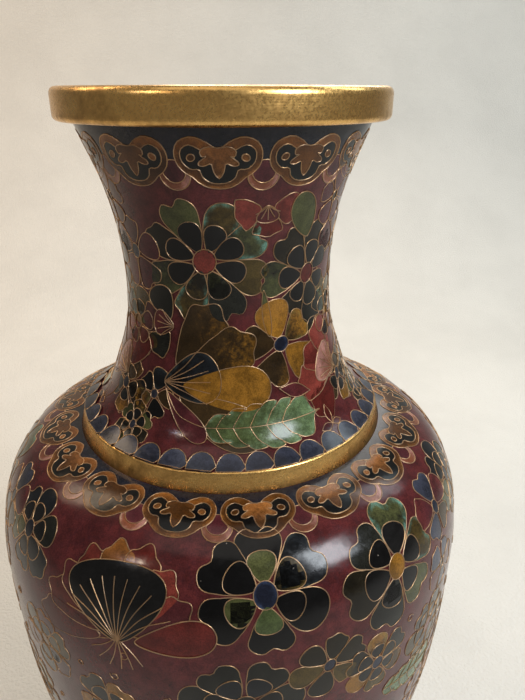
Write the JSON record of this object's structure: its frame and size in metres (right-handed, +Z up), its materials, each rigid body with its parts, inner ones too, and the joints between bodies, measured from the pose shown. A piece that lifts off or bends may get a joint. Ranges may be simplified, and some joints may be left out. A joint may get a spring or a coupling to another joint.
{
  "type": "cloisonne vase",
  "caption": "Baluster vase with flared neck, gilt mouth, neck and foot rings, and maroon enamel with wired flowers and cloud-head borders.",
  "frame": {"origin": "centre of the foot ring's resting plane", "axes": "+Z up along the vase's axis; -Y is the front"},
  "size_m": [0.1764, 0.1764, 0.38],
  "materials": {
    "gilt": "burnished gilt copper with dark patina spots",
    "copper": "raw copper, hidden under the enamel",
    "wire": "polished copper-gilt wire",
    "maroon_enamel": "glossy fired enamel, polished",
    "slate_enamel": "glossy fired enamel, polished",
    "amber_enamel": "glossy fired enamel, polished",
    "dark_green_enamel": "glossy fired enamel, polished",
    "petal_enamel": "glossy fired enamel, shaded from black to olive green",
    "red_enamel": "glossy fired enamel, polished",
    "counter_enamel": "satin blue counter-enamel"
  },
  "bodies": {
    "root": {"base_enamel": "counter_enamel", "base_plate": "copper", "body_blossom_centres": "slate_enamel", "body_blossom_petals": "petal_enamel", "body_blossom_wires": "wire", "body_ground_enamel": "maroon_enamel", "foot_ground_enamel": "maroon_enamel", "foot_ring": "gilt", "foot_scallop_enamel": "slate_enamel", "foot_scallop_wires": "wire", "foot_shell": "copper", "lower_body_lining": "counter_enamel", "lower_body_shell": "copper", "neck_blossom_centres": "red_enamel", "neck_blossom_petals": "petal_enamel", "neck_blossom_wires": "wire", "neck_border_bands": "amber_enamel", "neck_border_ground": "slate_enamel", "neck_border_hearts": "dark_green_enamel", "neck_border_wires": "wire", "neck_ground_enamel": "maroon_enamel", "neck_lining": "counter_enamel", "neck_ring": "gilt", "neck_shell": "copper", "rim_ring": "gilt", "scallop_enamel": "slate_enamel", "scallop_ground": "maroon_enamel", "scallop_wires": "wire", "shoulder_border_bands": "amber_enamel", "shoulder_border_ground": "maroon_enamel", "shoulder_border_hearts": "dark_green_enamel", "shoulder_border_wires": "wire", "shoulder_lining": "counter_enamel", "shoulder_shell": "copper"}
  },
  "joints": []
}
